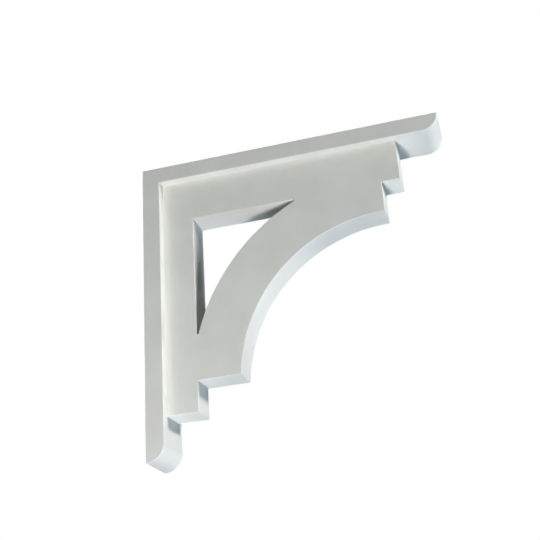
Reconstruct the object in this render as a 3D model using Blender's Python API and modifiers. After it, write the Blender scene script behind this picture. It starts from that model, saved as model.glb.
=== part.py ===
"""Arch bracket, moulded in one piece: two flat strips at a right angle, with a plate between them.

The plate has a quarter-circle arch cut out below, two square steps at each end,
and a three-sided window between its two arms and the curved rib.

Metres, +Z up. The origin is the middle of the face that goes on the wall. +X leaves the wall,
and the front is at -Y. The two sides are alike. Outlines are drawn from the outer corner of the
strips, as (out, down): out from the wall, and down from the top face.
"""
import math

import bmesh
import bpy
from mathutils import Euler

# Overall size
LEG = 0.635                 # each strip, from the corner to its tip (25 in)
STRIP_DEPTH = 0.1016        # the strips, from front to back (4 in)
PLATE_DEPTH = 0.0635        # the plate, from front to back (2 1/2 in)

# Strips
WALL_STRIP = 0.0378         # thickness of the strip on the wall
TOP_STRIP = 0.0355          # thickness of the strip under the shelf

# Plate
FIRST_END = 0.5435          # the corner to the end of the plate, the same on both strips
ARM_ON_WALL = 0.103         # out from the wall, of the lowest step
ARM_UNDER_TOP = 0.1228      # down from the top face, of the outermost step
SECOND_END_OUT = 0.5057     # out from the wall, where the arch ends
SECOND_END_DOWN = 0.480     # down from the top face, where the arch ends

# Arch and rib, on one centre
ARCH_CENTRE = (0.5027, 0.499)
ARCH_RADIUS = 0.3114
RIB_WIDTH = 0.0998

# Window between the arms and the rib
WINDOW_OUT = 0.1042         # left side, out from the wall
WINDOW_DOWN = 0.1258        # upper side, down from the top face
WINDOW_TIP_RADIUS = 0.002   # round ends where the rib runs into the arms

# Finish of the mould
ARRIS = 0.0016              # every edge and inner corner is eased this much
ARRIS_STEPS = 2
ARC_STEP = math.radians(1.5)
ROUND_STEP = math.radians(6)
TIP_STEP = math.radians(15)
SHARP_ANGLE = math.radians(30)
FLAT_ANGLE = math.radians(0.1)
WELD = 0.00001

NAME = "arch_bracket"


def clear_scene():
    for obj in list(bpy.data.objects):
        bpy.data.objects.remove(obj, do_unlink=True)


def new_collection(name):
    group = bpy.data.collections.new(name)
    bpy.context.scene.collection.children.link(group)
    return group


def arc(centre, radius, start, end, step):
    """Points along a circle as (out, down), with angles measured from outwards to upwards."""
    count = max(1, round(abs(end - start) / step))
    points = []
    for index in range(count + 1):
        angle = start + (end - start) * index / count
        points.append((centre[0] + radius * math.cos(angle), centre[1] - radius * math.sin(angle)))
    return points


def angle_at_out(radius, out):
    """The angle, on the upper left of the arch's circle, at a distance out from the wall."""
    return math.acos((out - ARCH_CENTRE[0]) / radius)


def angle_at_down(radius, down):
    """The angle, on the upper left of the arch's circle, at a distance below the top face."""
    return math.pi - math.asin((ARCH_CENTRE[1] - down) / radius)


def strips_outline():
    """Both strips as one L. Each ends in a quarter round, and its outer face runs on to the tip."""
    tip_out = arc((LEG - TOP_STRIP, 0), TOP_STRIP, 0, -math.pi / 2, ROUND_STEP)
    tip_down = arc((0, LEG - WALL_STRIP), WALL_STRIP, 0, -math.pi / 2, ROUND_STEP)
    return [(0, 0)] + tip_out + [(WALL_STRIP, TOP_STRIP)] + tip_down


def plate_outline():
    """The plate, from the middle of one strip round its steps and arch to the middle of the other."""
    arch = arc(ARCH_CENTRE, ARCH_RADIUS, angle_at_out(ARCH_RADIUS, SECOND_END_OUT),
               angle_at_down(ARCH_RADIUS, SECOND_END_DOWN), ARC_STEP)
    inside_top = TOP_STRIP / 2
    inside_wall = WALL_STRIP / 2
    outer_steps = [(FIRST_END, inside_top), (FIRST_END, ARM_UNDER_TOP), (SECOND_END_OUT, ARM_UNDER_TOP)]
    lower_steps = [(ARM_ON_WALL, SECOND_END_DOWN), (ARM_ON_WALL, FIRST_END), (inside_wall, FIRST_END)]
    return [(inside_wall, inside_top)] + outer_steps + arch + lower_steps


def window_outline():
    """The window's square corner, and its two narrow ends closed by small rounds beside the rib."""
    rib = ARCH_RADIUS + RIB_WIDTH
    tip = WINDOW_TIP_RADIUS
    reach = rib + tip
    upper_down = WINDOW_DOWN + tip
    upper_out = ARCH_CENTRE[0] - math.sqrt(reach**2 - (ARCH_CENTRE[1] - upper_down)**2)
    lower_out = WINDOW_OUT + tip
    lower_down = ARCH_CENTRE[1] - math.sqrt(reach**2 - (ARCH_CENTRE[0] - lower_out)**2)
    upper_turn = math.atan2(ARCH_CENTRE[1] - upper_down, upper_out - ARCH_CENTRE[0])
    lower_turn = math.atan2(ARCH_CENTRE[1] - lower_down, lower_out - ARCH_CENTRE[0])
    upper_tip = arc((upper_out, upper_down), tip, math.pi / 2, upper_turn - math.pi, TIP_STEP)
    curved_side = arc(ARCH_CENTRE, rib, upper_turn, lower_turn, ARC_STEP)
    lower_tip = arc((lower_out, lower_down), tip, lower_turn - math.pi, -math.pi, TIP_STEP)
    return [(WINDOW_OUT, WINDOW_DOWN)] + upper_tip + curved_side[1:-1] + lower_tip


def extruded(name, outlines, depth, group):
    """A flat 2D curve, extruded each way by half the depth and stood up, as a closed mesh."""
    curve = bpy.data.curves.new(name, "CURVE")
    curve.dimensions = "2D"
    curve.fill_mode = "BOTH"
    curve.extrude = depth / 2
    for outline in outlines:
        spline = curve.splines.new("POLY")
        spline.points.add(len(outline) - 1)
        for point, (out, down) in zip(spline.points, outline):
            point.co = (out, LEG / 2 - down, 0, 1)
        spline.use_cyclic_u = True
    flat = bpy.data.objects.new(name + "_outline", curve)
    flat.rotation_euler = Euler((math.pi / 2, 0, 0))
    group.objects.link(flat)
    bpy.context.view_layer.update()

    mesh = bpy.data.meshes.new_from_object(flat.evaluated_get(bpy.context.evaluated_depsgraph_get()))
    mesh.name = name
    shell = bmesh.new()
    shell.from_mesh(mesh)
    bmesh.ops.remove_doubles(shell, verts=shell.verts, dist=WELD)
    bmesh.ops.recalc_face_normals(shell, faces=shell.faces)
    bmesh.ops.dissolve_limit(shell, angle_limit=FLAT_ANGLE, verts=shell.verts, edges=shell.edges)
    shell.to_mesh(mesh)
    shell.free()

    solid = bpy.data.objects.new(name, mesh)
    solid.matrix_world = flat.matrix_world
    group.objects.link(solid)
    bpy.data.objects.remove(flat, do_unlink=True)
    return solid


def moulded_polyurethane():
    """Rigid foam with a white primer from the mould: off-white, and almost matt."""
    material = bpy.data.materials.new("moulded_polyurethane")
    material.use_nodes = True
    shader = material.node_tree.nodes["Principled BSDF"]
    shader.inputs["Base Color"].default_value = (0.80, 0.80, 0.78, 1)
    shader.inputs["Roughness"].default_value = 0.5
    shader.inputs["Metallic"].default_value = 0
    return material


def join_and_ease(strips, plate):
    """The plate becomes one with the strips, and the edges are eased as the mould leaves them."""
    union = strips.modifiers.new("join_plate", "BOOLEAN")
    union.operation = "UNION"
    union.solver = "EXACT"
    union.object = plate
    ease = strips.modifiers.new("ease_edges", "BEVEL")
    ease.width = ARRIS
    ease.segments = ARRIS_STEPS
    ease.limit_method = "ANGLE"
    ease.angle_limit = SHARP_ANGLE
    ease.use_clamp_overlap = False      # the short facets in the window's tips would thin every edge


def build():
    clear_scene()
    parts = new_collection(NAME)
    helpers = new_collection(NAME + "_cutters")

    plate = extruded("plate", [plate_outline(), window_outline()], PLATE_DEPTH, helpers)
    plate.hide_render = True
    plate.display_type = "WIRE"

    bracket = extruded(NAME, [strips_outline()], STRIP_DEPTH, parts)
    bracket.data.materials.append(moulded_polyurethane())
    join_and_ease(bracket, plate)
    bracket.data.shade_smooth()
    bracket.data.set_sharp_from_angle(angle=SHARP_ANGLE)


build()
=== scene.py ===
import math

import bmesh
import bpy
import numpy as np
from mathutils import Matrix, Vector
from mathutils.geometry import delaunay_2d_cdt


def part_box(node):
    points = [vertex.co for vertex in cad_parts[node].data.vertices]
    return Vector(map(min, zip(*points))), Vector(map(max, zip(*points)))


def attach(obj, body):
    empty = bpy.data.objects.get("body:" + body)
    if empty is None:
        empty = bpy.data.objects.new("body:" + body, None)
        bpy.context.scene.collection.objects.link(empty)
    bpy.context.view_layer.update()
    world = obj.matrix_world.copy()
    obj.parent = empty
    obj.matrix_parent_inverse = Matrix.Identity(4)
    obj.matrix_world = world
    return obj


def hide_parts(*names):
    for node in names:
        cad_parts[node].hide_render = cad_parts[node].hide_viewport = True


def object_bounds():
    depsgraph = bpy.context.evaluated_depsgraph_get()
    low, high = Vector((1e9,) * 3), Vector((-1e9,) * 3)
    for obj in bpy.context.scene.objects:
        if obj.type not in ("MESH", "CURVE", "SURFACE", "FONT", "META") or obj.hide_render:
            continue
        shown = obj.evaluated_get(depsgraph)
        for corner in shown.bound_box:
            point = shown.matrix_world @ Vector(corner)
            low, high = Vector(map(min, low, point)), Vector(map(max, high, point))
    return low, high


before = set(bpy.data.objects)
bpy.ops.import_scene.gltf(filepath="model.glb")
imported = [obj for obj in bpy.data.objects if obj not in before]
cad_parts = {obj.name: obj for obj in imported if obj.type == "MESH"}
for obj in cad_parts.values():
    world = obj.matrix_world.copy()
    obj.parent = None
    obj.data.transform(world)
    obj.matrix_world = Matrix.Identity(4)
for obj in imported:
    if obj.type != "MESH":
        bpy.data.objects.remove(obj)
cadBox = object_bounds()
scene = bpy.context.scene
scene.view_settings.view_transform = "Standard"    # keeps the white surround white
millimetre = 0.001
print("frame loaded")


def linearColour(hexCode):
    # sRGB to linear: c / 12.92 in the toe, ((c + 0.055) / 1.055) ^ 2.4 above it
    levels = np.array([int(hexCode[start:start + 2], 16) for start in (1, 3, 5)]) / 255
    linear = np.where(levels <= 0.04045, levels / 12.92, ((levels + 0.055) / 1.055)**2.4)
    return (*linear.tolist(), 1)


def addNode(tree, kind, settings=None, inputs=None):
    # settings are the node's own properties; an input that is a socket is linked, and any other is a value
    node = tree.nodes.new(kind)
    for key, value in (settings or {}).items():
        setattr(node, key, value)
    for key, value in (inputs or {}).items():
        if isinstance(value, bpy.types.NodeSocket):
            tree.links.new(value, node.inputs[key])
        else:
            node.inputs[key].default_value = value
    return node


def addObject(name, data):
    made = bpy.data.objects.new(name, data)
    scene.collection.objects.link(made)
    return made


camera = {
    "place": (0.6869, -1.7383, -0.7409),    # metres: below the bracket, out past its middle
    "heading": 13.946,                      # degrees from straight on, turned towards the wall
    "lookUp": 24.052,
    "roll": -4.021,
    "lens": 64.21,
    "sensor": 36,
}


def makeCamera(name, settings):
    # turn = heading about the vertical, then the tilt up, then the roll about the line of sight
    data = bpy.data.cameras.new(name)
    data.lens = settings["lens"]
    data.sensor_width = settings["sensor"]
    view = addObject(name, data)
    view.matrix_world = (Matrix.Translation(settings["place"])
                         @ Matrix.Rotation(math.radians(settings["heading"]), 4, "Z")
                         @ Matrix.Rotation(math.radians(90 + settings["lookUp"]), 4, "X")
                         @ Matrix.Rotation(math.radians(settings["roll"]), 4, "Z"))
    scene.camera = view


makeCamera("studioCamera", camera)
print("camera placed")


polyurethane = {
    "fullColour": "#F1F1EA",
    "thinColour": "#ECECE4",        # where the primer lies a little thinner
    "sandedColour": "#E4E3DE",      # the faces that go on the wall and under the shelf, sanded flat
    "roughness": (0.5, 0.62),       # eggshell, on the matt side
    "sandedRoughness": 0.72,
    "ior": 1.5,
    "noises": {                     # mm across, and how many finer layers each has
        "thickness": (70, 3),       # the drift from full to thin
        "sheen": (24, 4),           # patches that the release film leaves, a little smoother or duller
        "wave": (90, 1),            # the slight unevenness of a foam face after it cools
        "peel": (2.4, 2),           # the real orange peel is about 1 mm, too fine to show
        "scratch": (1.6, 3),        # the grit's own scratches are 0.2 mm apart, too fine to show
    },
    "thicknessSpread": (0.35, 0.65),    # the noise values that give thin and full
    "sheenSpread": (0.3, 0.7),          # and those that give the two ends of the roughness
    "scratchStretch": (30, 1, 30),      # the scratches run along both strips
    "depths": {"wave": 0.05, "peel": 0.03, "scratch": 0.06},    # mm, deeper where drawn coarser than real
    "faceDepth": 0.05,                  # mm, what still counts as a sanded face
}


def mouldedPolyurethane(settings, top):
    # rigid polyurethane foam moulded against its own white primer: the eye gets an off-white
    # eggshell skin with no grain, broad soft highlights and a very fine orange peel
    material = bpy.data.materials.new("mouldedPolyurethanePrimed")
    material.use_nodes = True
    tree = material.node_tree
    shader = tree.nodes["Principled BSDF"]
    place = addNode(tree, "ShaderNodeTexCoord").outputs["Object"]
    stretched = addNode(tree, "ShaderNodeMapping", {"vector_type": "TEXTURE"}, {
        "Vector": place, "Scale": settings["scratchStretch"]}).outputs["Vector"]
    noise = {name: addNode(tree, "ShaderNodeTexNoise", None, {
        "Vector": stretched if name == "scratch" else place, "Scale": 1 / (size * millimetre),
        "Detail": layers}).outputs["Fac"] for name, (size, layers) in settings["noises"].items()}

    # the sanded faces are X = 0 and Z = top
    margin = settings["faceDepth"] * millimetre
    axes = addNode(tree, "ShaderNodeSeparateXYZ", None, {"Vector": place}).outputs
    onWall = addNode(tree, "ShaderNodeMath", {"operation": "LESS_THAN"}, {0: axes["X"], 1: margin})
    onTop = addNode(tree, "ShaderNodeMath", {"operation": "GREATER_THAN"}, {0: axes["Z"], 1: top - margin})
    sanded = addNode(tree, "ShaderNodeMath", {"operation": "MAXIMUM"},
                     {0: onWall.outputs[0], 1: onTop.outputs[0]}).outputs[0]

    thin, thick = settings["thicknessSpread"]
    full = addNode(tree, "ShaderNodeMapRange", None, {
        "Value": noise["thickness"], "From Min": thin, "From Max": thick}).outputs["Result"]
    primer = addNode(tree, "ShaderNodeMixRGB", None, {
        "Fac": full, "Color1": linearColour(settings["thinColour"]),
        "Color2": linearColour(settings["fullColour"])}).outputs["Color"]
    colour = addNode(tree, "ShaderNodeMixRGB", None, {
        "Fac": sanded, "Color1": primer, "Color2": linearColour(settings["sandedColour"])}).outputs["Color"]

    (low, high), (smooth, dull) = settings["sheenSpread"], settings["roughness"]
    eggshell = addNode(tree, "ShaderNodeMapRange", None, {
        "Value": noise["sheen"], "From Min": low, "From Max": high,
        "To Min": smooth, "To Max": dull}).outputs["Result"]
    roughness = addNode(tree, "ShaderNodeMix", None, {
        "Factor": sanded, "A": eggshell, "B": settings["sandedRoughness"]}).outputs["Result"]

    noise["scratch"] = addNode(tree, "ShaderNodeMath", {"operation": "MULTIPLY"},
                               {0: noise["scratch"], 1: sanded}).outputs[0]
    relief = {}
    for name, depth in settings["depths"].items():
        relief = {"Normal": addNode(tree, "ShaderNodeBump", None, {
            "Height": noise[name], "Distance": depth * millimetre, **relief}).outputs["Normal"]}

    shader.inputs["IOR"].default_value = settings["ior"]
    for name, socket in (("Base Color", colour), ("Roughness", roughness), ("Normal", relief["Normal"])):
        tree.links.new(socket, shader.inputs[name])
    return material


primedFoam = mouldedPolyurethane(polyurethane, cadBox[1][2])
print("material made")


bracket = {
    "node": "arch_bracket",
    "plateDepth": 0.0635,           # metres, as all the sizes here
    "wallStrip": 0.0378,
    "topStrip": 0.0355,
    "firstEnd": 0.5435,             # the plate's ends, measured along both strips from their corner
    "armOnWall": 0.103,
    "armUnderTop": 0.1228,
    "secondEnd": (0.5057, 0.480),   # where the arch ends: out on the upper arm, down on the lower arm
    "archCentre": (0.5027, 0.499),
    "archRadius": 0.3114,
    "ribWidth": 0.0998,
    "windowCorner": (0.1042, 0.1258),
    "windowTip": 0.002,             # radius of the round in each narrow end of the window
    "corner": 0.0014,               # radius of every square corner, seen from the front
    "arris": 0.0012,                # radius of the edges round both faces
    "junction": 0.0012,             # the small cove where the plate meets the strips
    "arrisSegments": 5,
    "arcStep": 0.75,                # degrees, along the arch and the rib
    "roundStep": 5,                 # degrees, round the ends of the strips
    "tipStep": 12,                  # degrees, round the window's narrow ends
    "cornerStep": 18,               # degrees, round the square corners
    "sharpAngle": 30,               # degrees; what turns less is a curve and not an edge
    "flatAngle": 0.02,              # degrees; triangles within this are one face
    "flatWeight": 100,              # the most that large faces can weigh in the shading of the edges
    "weld": 0.00001,
    "closest": 1e-9,                # points this near to each other count as one when a face is filled
}


def arc(centre, radius, start, end, step):
    # P(t) = centre + radius (cos t, -sin t), t even from start to end, in steps of about so many degrees
    turn = np.linspace(start, end, max(1, round(math.degrees(abs(end - start)) / step)) + 1)
    return np.stack([centre[0] + radius * np.cos(turn), centre[1] - radius * np.sin(turn)], axis=1)


def stripsOutline(s, leg):
    # an L from its outer corner; each tip is a quarter circle as large as the strip is thick
    tipOut = arc((leg - s["topStrip"], 0), s["topStrip"], 0, -math.pi / 2, s["roundStep"])
    tipDown = arc((0, leg - s["wallStrip"]), s["wallStrip"], 0, -math.pi / 2, s["roundStep"])
    return np.concatenate([[(0, 0)], tipOut, [(s["wallStrip"], s["topStrip"])], tipDown])


def plateOutline(s):
    # square steps at both ends, and between them the arch: where out = x, cos t = (x - centre) / radius,
    # and where down = z, sin t = (centre - z) / radius on the wall's side
    out, down = s["secondEnd"]
    start = math.acos((out - s["archCentre"][0]) / s["archRadius"])
    end = math.pi - math.asin((s["archCentre"][1] - down) / s["archRadius"])
    insideTop, insideWall = s["topStrip"] / 2, s["wallStrip"] / 2
    return np.concatenate([
        [(insideWall, insideTop), (s["firstEnd"], insideTop), (s["firstEnd"], s["armUnderTop"]),
         (out, s["armUnderTop"])],
        arc(s["archCentre"], s["archRadius"], start, end, s["arcStep"]),
        [(s["armOnWall"], down), (s["armOnWall"], s["firstEnd"]), (insideWall, s["firstEnd"])],
    ])


def windowOutline(s):
    # a square corner and the rib's outer circle; a small circle touches the rib and one straight side in
    # each narrow end, so its centre is at ribRadius + tip from the arch's centre and at tip from that side
    ribRadius, tip = s["archRadius"] + s["ribWidth"], s["windowTip"]
    reach = ribRadius + tip
    (centreOut, centreDown), (left, upper) = s["archCentre"], s["windowCorner"]
    upperTip = (centreOut - math.sqrt(reach**2 - (centreDown - upper - tip)**2), upper + tip)
    lowerTip = (left + tip, centreDown - math.sqrt(reach**2 - (centreOut - left - tip)**2))
    upperTurn = math.atan2(centreDown - upperTip[1], upperTip[0] - centreOut)
    lowerTurn = math.atan2(centreDown - lowerTip[1], lowerTip[0] - centreOut)
    outline = np.concatenate([
        [(left, upper)],
        arc(upperTip, tip, math.pi / 2, upperTurn - math.pi, s["tipStep"]),
        arc(s["archCentre"], ribRadius, upperTurn, lowerTurn, s["arcStep"])[1:-1],
        arc(lowerTip, tip, lowerTurn - math.pi, -math.pi, s["tipStep"]),
    ])
    return outline[::-1]            # against the others' way round, so that the solid is on the same hand


def sidesOf(outline):
    # the unit vector along the side that comes before each point, and along the one that follows it
    after = np.roll(outline, -1, axis=0) - outline
    after /= np.linalg.norm(after, axis=1, keepdims=True)
    return np.roll(after, 1, axis=0), after


def roundedCorners(outline, s):
    # at a corner that turns by a, with sides u and v, the arc of radius r starts r tan(a / 2) before it:
    # Q(t) = P - r tan(a / 2) u + r (sin t u + (1 - cos t) n), n square to u on the side that it turns to
    before, after = sidesOf(outline)
    cross = before[:, 0] * after[:, 1] - before[:, 1] * after[:, 0]
    turn = np.arctan2(cross, (before * after).sum(axis=1))
    sharp = np.abs(turn) > math.radians(s["sharpAngle"])
    count = np.where(sharp, np.ceil(np.abs(np.degrees(turn)) / s["cornerStep"]).astype(int) + 1, 1)
    owner = np.repeat(np.arange(len(outline)), count)
    order = np.arange(count.sum()) - np.repeat(np.cumsum(count) - count, count)
    along = order / np.maximum(count[owner] - 1, 1) * np.abs(turn[owner])
    u = before[owner]
    n = np.sign(turn[owner])[:, None] * np.stack([-u[:, 1], u[:, 0]], axis=1)
    trim = np.tan(np.abs(turn[owner]) / 2)[:, None]
    moved = -trim * u + np.sin(along)[:, None] * u + (1 - np.cos(along))[:, None] * n
    return outline[owner] + np.where(sharp[owner][:, None], s["corner"] * moved, 0)


def solidFromOutlines(name, outlines, depth, top, s):
    # S(i, j) = outline i moved inwards by r (1 - cos a), at a depth of d / 2 - r + r sin a, a from 0 to 90
    # degrees at the front and again at the back: a quarter-round profile carried along each outline.
    # A corner moves along m = (u - v) / (u x v), or the common normal on a straight run, so its sides stay
    # parallel. The two faces are the triangles inside the first outline and outside the others
    quarter = np.linspace(0, math.pi / 2, s["arrisSegments"] + 1)
    inset = s["arris"] * (1 - np.cos(quarter))
    away = depth / 2 - s["arris"] + s["arris"] * np.sin(quarter)
    inset = np.concatenate([inset[::-1], inset])
    away = np.concatenate([-away[::-1], away])

    outlines = [roundedCorners(outline, s) for outline in outlines]
    flat = np.concatenate(outlines)
    firsts = np.cumsum([0] + [len(outline) for outline in outlines])
    rings = [np.arange(a, b) for a, b in zip(firsts[:-1], firsts[1:])]
    inwards = []
    for outline in outlines:
        before, after = sidesOf(outline)
        normal = np.stack([-before[:, 1] - after[:, 1], before[:, 0] + after[:, 0]], axis=1)
        inwards.append(normal / (1 + (before * after).sum(axis=1))[:, None])
    inwards = np.concatenate(inwards)

    grid = flat[None] + inset[:, None, None] * inwards[None]
    deep = np.broadcast_to(away[:, None], grid.shape[:2])
    points = np.stack([grid[..., 0], deep, top - grid[..., 1]], axis=-1)
    count = len(flat)
    follows = np.concatenate([np.roll(ring, -1) for ring in rings])
    rows = np.arange(len(inset) - 1)[:, None] * count
    quads = np.stack([rows + np.arange(count), rows + follows, rows + count + follows,
                      rows + count + np.arange(count)], axis=-1).reshape(-1, 4)
    loops = [rings[0].tolist()] + [ring[::-1].tolist() for ring in rings[1:]]
    filled = delaunay_2d_cdt(grid[0].tolist(), [], loops, 1, s["closest"])      # 1: inside the first only
    fill = np.array([face for face, loopsRound in zip(filled[2], filled[5]) if loopsRound == [0]])
    last = (len(inset) - 1) * count

    mesh = bpy.data.meshes.new(name)
    mesh.from_pydata(points.reshape(-1, 3).tolist(), [],
                     quads.tolist() + fill.tolist() + (fill[:, ::-1] + last).tolist())
    tidyMesh(mesh, s)
    return addObject(name, mesh)


def tidyMesh(mesh, s):
    # welds the seams, joins what lies in one plane and turns every face outwards
    shell = bmesh.new()
    shell.from_mesh(mesh)
    bmesh.ops.remove_doubles(shell, verts=shell.verts, dist=s["weld"])
    flatAngle = math.radians(s["flatAngle"])
    bmesh.ops.dissolve_limit(shell, angle_limit=flatAngle, verts=shell.verts, edges=shell.edges)
    bmesh.ops.recalc_face_normals(shell, faces=shell.faces)
    shell.to_mesh(mesh)
    shell.free()


def makeBracket(name, s, material):
    # the strips and the plate are joined into one casting, and the line where they meet is coved
    low, high = (np.array(corner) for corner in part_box(s["node"]))
    leg, stripDepth = high[2] - low[2], high[1] - low[1]
    casting = solidFromOutlines(name, [stripsOutline(s, leg)], stripDepth, high[2], s)
    plate = solidFromOutlines("plate", [plateOutline(s), windowOutline(s)], s["plateDepth"], high[2], s)

    joint = casting.modifiers.new("joinPlate", "BOOLEAN")
    joint.operation, joint.solver, joint.object = "UNION", "EXACT", plate
    whole = bpy.data.meshes.new_from_object(casting.evaluated_get(bpy.context.evaluated_depsgraph_get()))
    casting.modifiers.remove(joint)
    casting.data = whole
    whole.name = name
    bpy.data.objects.remove(plate, do_unlink=True)
    tidyMesh(whole, s)

    cove = casting.modifiers.new("coveJunction", "BEVEL")
    cove.width, cove.segments = s["junction"], s["arrisSegments"]
    cove.limit_method, cove.angle_limit = "ANGLE", math.radians(s["sharpAngle"])
    cove.use_clamp_overlap = False      # the short facets round the corners would thin it
    flatten = casting.modifiers.new("keepFacesFlat", "WEIGHTED_NORMAL")
    flatten.weight = s["flatWeight"]
    whole.shade_smooth()
    whole.materials.clear()
    whole.materials.append(material)
    return casting


casting = makeBracket("archBracketCasting", bracket, primedFoam)
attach(casting, "root")
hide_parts(bracket["node"])
print("bracket made")


studio = {
    "middle": (0.26, 0, 0.05),      # what the lights are aimed at
    "floorHeight": -1.5,
    "floorRadius": 8,
    "floorSides": 96,
    "floorColour": "#E2E3E2",
    "surroundColour": "#FFFFFF",    # what the camera sees behind the bracket
}

# metres across for the size; strength in red, green and blue
lights = {
    "keySoftbox": {
        "place": (1.81, -0.14, 0.44), "size": 0.27, "strength": (0.345, 0.315, 0.297), "fades": False},
    "sideSoftbox": {
        "place": (3.6, -0.6, 0.9), "size": 0.6, "strength": (0.221, 0.241, 0.267), "fades": True},
    "farSoftbox": {
        "place": (6.82, 0.46, 2.44), "size": 1.2, "strength": (0.093, 0.082, 0.071), "fades": True},
    "upperFill": {
        "place": (2.59, -0.41, 1.9), "size": 1.2, "strength": (0.006, 0.026, 0.046), "fades": True},
    "frontFill": {
        "place": (0.26, -5.99, 0.36), "size": 2.0, "strength": (0.128, 0.131, 0.118), "fades": True},
    "frontUplight": {
        "place": (0.04, -1.23, -2.12), "size": 0.45, "strength": (0.425, 0.42, 0.434), "fades": True},
    "evenUplight": {
        "place": (0.12, -1.6, -1.87), "size": 0.43, "strength": (0.124, 0.133, 0.155), "fades": False},
    "rearUplight": {
        "place": (2.0, 0.8, -1.8), "size": 1.4, "strength": (0.123, 0.178, 0.234), "fades": True},
    "backSoftbox": {
        "place": (-0.55, 8.0, 0.65), "size": 1.0, "strength": (0.5, 0.495, 0.505), "fades": True},
    "topSoftbox": {
        "place": (-3.4, 0.1, 4.4), "size": 0.6, "strength": (0.9, 0.9, 0.92), "fades": True},
}


def makeLight(name, s, middle):
    # a disc facing the middle; its power grows with the distance squared, so that strength is the
    # red, green and blue light that reaches the bracket, 1 being a sun of pi watts a square metre
    away = Vector(s["place"]) - Vector(middle)
    data = bpy.data.lights.new(name, "AREA")
    data.shape = "DISK"
    data.size = s["size"]
    data.energy = max(s["strength"]) * 4 * math.pi * away.length_squared
    data.color = [level / max(s["strength"]) for level in s["strength"]]
    if not s["fades"]:              # as bright at every distance, as if from much farther away
        data.use_nodes = True
        tree = data.node_tree
        even = addNode(tree, "ShaderNodeLightFalloff", None, {"Strength": 1 / away.length_squared})
        tree.links.new(even.outputs["Constant"], tree.nodes["Emission"].inputs["Strength"])
    lamp = addObject(name, data)
    lamp.location = s["place"]
    lamp.rotation_euler = away.to_track_quat("Z", "Y").to_euler()
    lamp.visible_camera = False


def makeFloor(name, s):
    # a flat disc: P(t) = radius (cos t, sin t). It is an opal sheet lit from below, even and pale, that
    # turns to the surround's white towards its rim
    sides = np.arange(s["floorSides"])
    turn = sides * 2 * math.pi / s["floorSides"]
    out, along = s["floorRadius"] * np.cos(turn), s["floorRadius"] * np.sin(turn)
    rim = np.column_stack([out, along, np.full(len(turn), s["floorHeight"])])
    mesh = bpy.data.meshes.new(name)
    mesh.from_pydata(rim.tolist(), [], [sides.tolist()])
    opal = bpy.data.materials.new("opalAcrylicLit")
    opal.use_nodes = True
    tree = opal.node_tree
    place = addNode(tree, "ShaderNodeTexCoord").outputs["Object"]
    away = addNode(tree, "ShaderNodeVectorMath", {"operation": "LENGTH"}, {0: place}).outputs["Value"]
    fade = addNode(tree, "ShaderNodeMapRange", {"interpolation_type": "SMOOTHSTEP"}, {
        "Value": away, "From Min": abs(s["floorHeight"]), "From Max": s["floorRadius"]}).outputs["Result"]
    glow = addNode(tree, "ShaderNodeMixRGB", None, {
        "Fac": fade, "Color1": linearColour(s["floorColour"]),
        "Color2": linearColour(s["surroundColour"])}).outputs["Color"]
    lit = addNode(tree, "ShaderNodeEmission", None, {"Color": glow}).outputs["Emission"]
    tree.links.new(lit, tree.nodes["Material Output"].inputs["Surface"])
    tree.nodes.remove(tree.nodes["Principled BSDF"])
    mesh.materials.append(opal)
    floor = addObject(name, mesh)
    for ray in ("diffuse", "glossy", "shadow"):      # it throws no light on the bracket and stops none
        setattr(floor, "visible_" + ray, False)
    return floor


def makeSurround(name, s):
    # white to the camera, and no light on the bracket: its strength is 1 for camera rays and 0 for others
    world = bpy.data.worlds.new(name)
    scene.world = world
    world.use_nodes = True
    tree = world.node_tree
    seen = addNode(tree, "ShaderNodeLightPath").outputs["Is Camera Ray"]
    background = tree.nodes["Background"]
    background.inputs["Color"].default_value = linearColour(s["surroundColour"])
    tree.links.new(seen, background.inputs["Strength"])


for lightName, lightSettings in lights.items():
    makeLight(lightName, lightSettings, studio["middle"])
makeFloor("studioFloor", studio)
makeSurround("studioSurround", studio)
print("studio lit")
